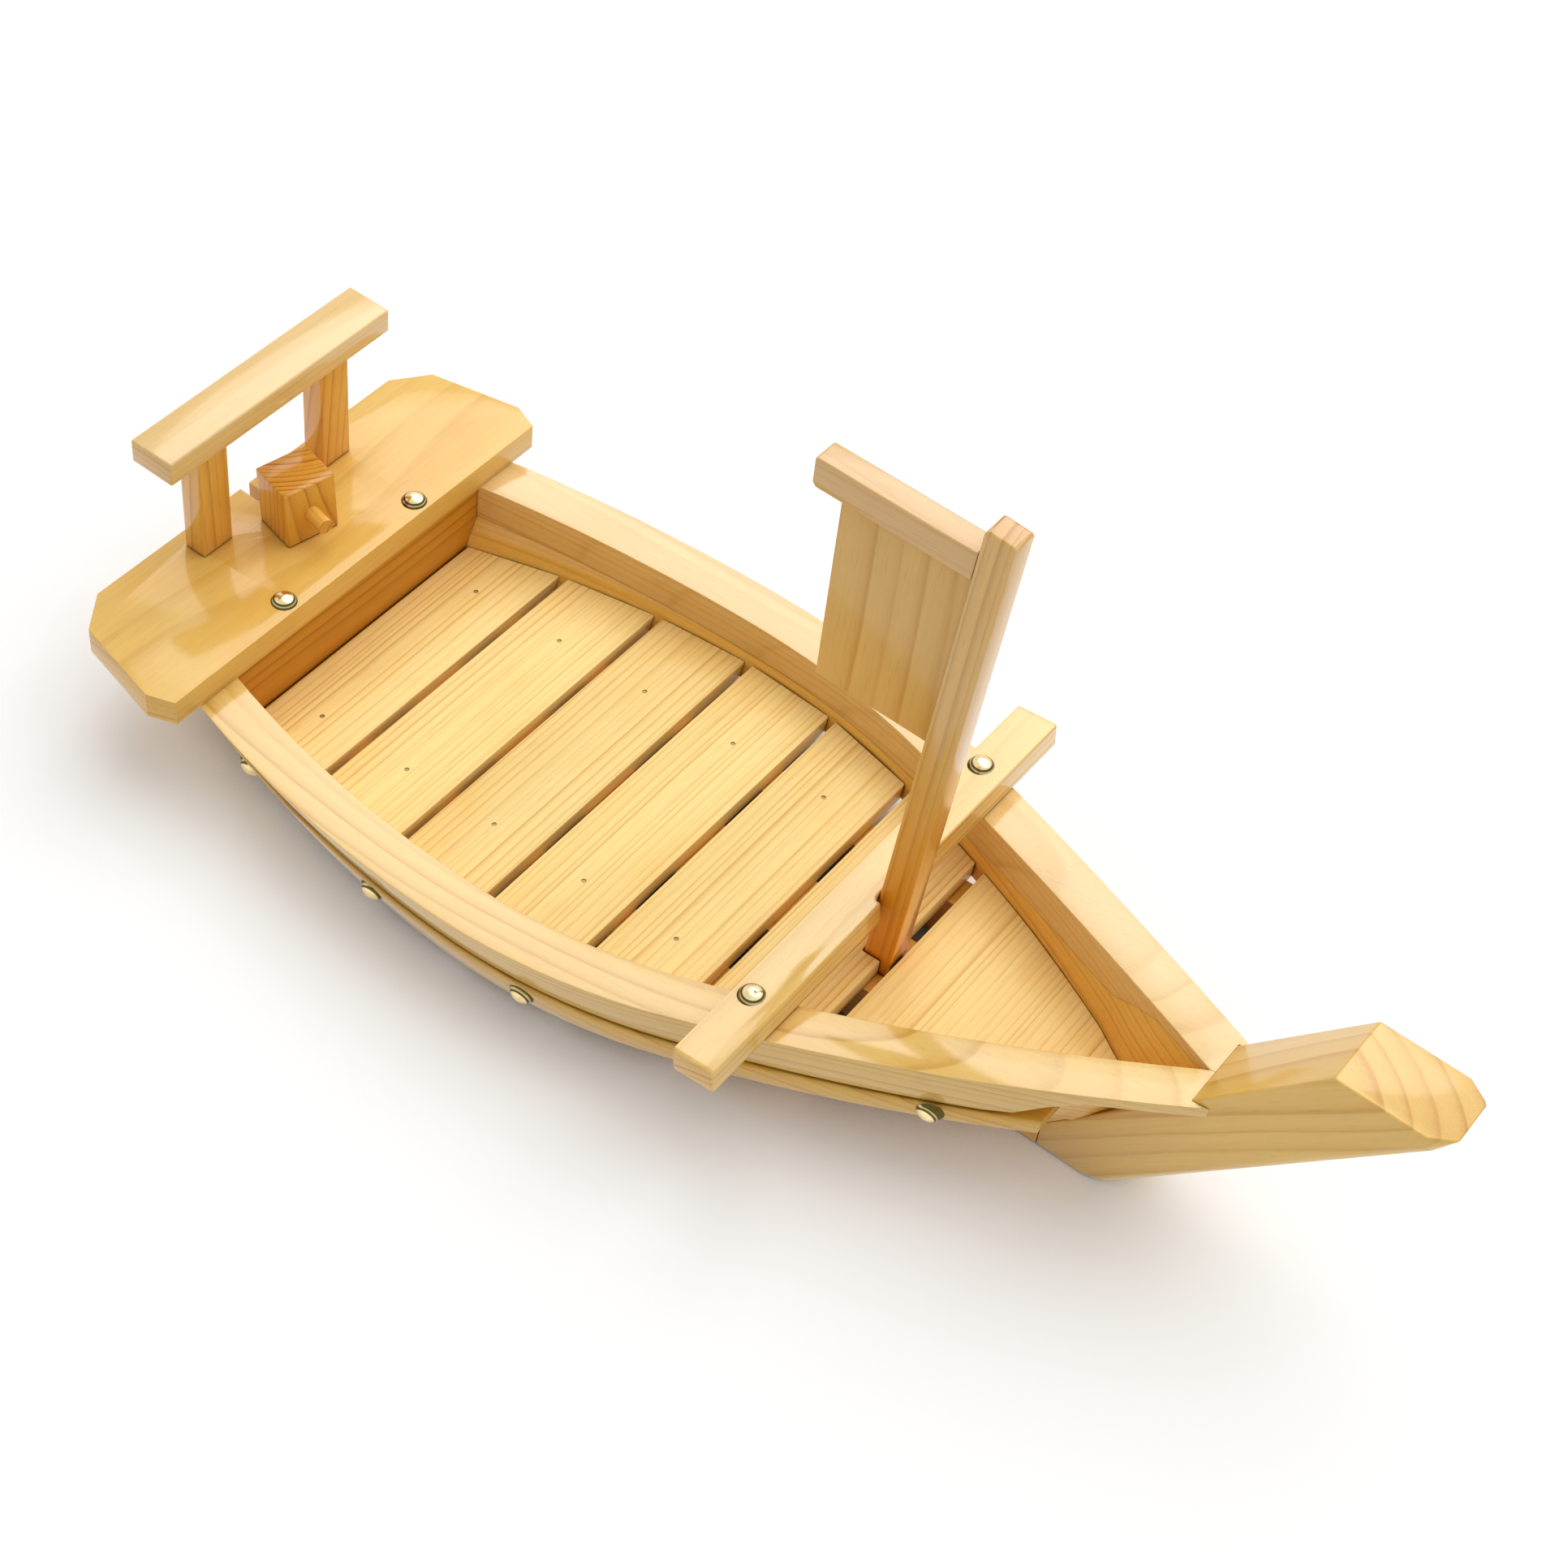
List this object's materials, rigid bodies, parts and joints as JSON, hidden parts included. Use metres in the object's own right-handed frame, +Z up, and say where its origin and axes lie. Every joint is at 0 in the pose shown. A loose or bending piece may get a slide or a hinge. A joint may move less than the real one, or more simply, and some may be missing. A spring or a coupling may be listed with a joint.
{
  "type": "sushi boat",
  "caption": "Wooden serving boat with slatted deck, raked stem, lift-out mast with sail board, turning rudder and a carrying rail at the stern, for sushi and sashimi.",
  "frame": {"origin": "middle of the boat's length and breadth, on the table under the keel", "axes": "+X to the bow, +Y to port, +Z up"},
  "size_m": [0.498, 0.197, 0.2379],
  "materials": {
    "pine": "clear satin lacquer on pine",
    "deck": "clear satin lacquer on pine, straight grain",
    "brass": "polished"
  },
  "bodies": {
    "hull": {"stem": "pine", "keel": "pine", "bearer_port": "pine", "bearer_starboard": "pine", "transom": "pine", "side_port": "pine", "side_starboard": "pine", "strake_port": "pine", "strake_starboard": "pine", "gunwale_port": "pine", "gunwale_starboard": "pine", "deck_slat_1": "deck", "deck_slat_2": "deck", "deck_slat_3": "deck", "deck_slat_4": "deck", "deck_slat_5": "deck", "deck_slat_6": "deck", "bow_deck": "deck", "crossbeam": "pine", "stern_board": "pine", "stern_post_port": "pine", "stern_post_starboard": "pine", "stern_rail": "pine", "beam_nails": "brass", "stern_nails": "brass", "side_nails_port": "brass", "side_nails_starboard": "brass", "deck_brads": "brass"},
    "mast": {"mast": "pine", "sail_board": "pine", "yard": "pine"},
    "rudder": {"rudder_head": "pine", "tiller": "pine", "rudder_stock": "pine", "rudder_blade": "pine"}
  },
  "joints": [
    {"name": "mast_lift", "type": "slide", "parent": "hull", "child": "mast", "axis": [0.0602, 0, 0.9982], "range_m": [0, 0.06]},
    {"name": "rudder_turn", "type": "hinge", "parent": "hull", "child": "rudder", "pos_m": [-0.2216, -0.002, 0.045], "axis": [0, 0, 1], "range_deg": [-17.3, 42.7]}
  ]
}
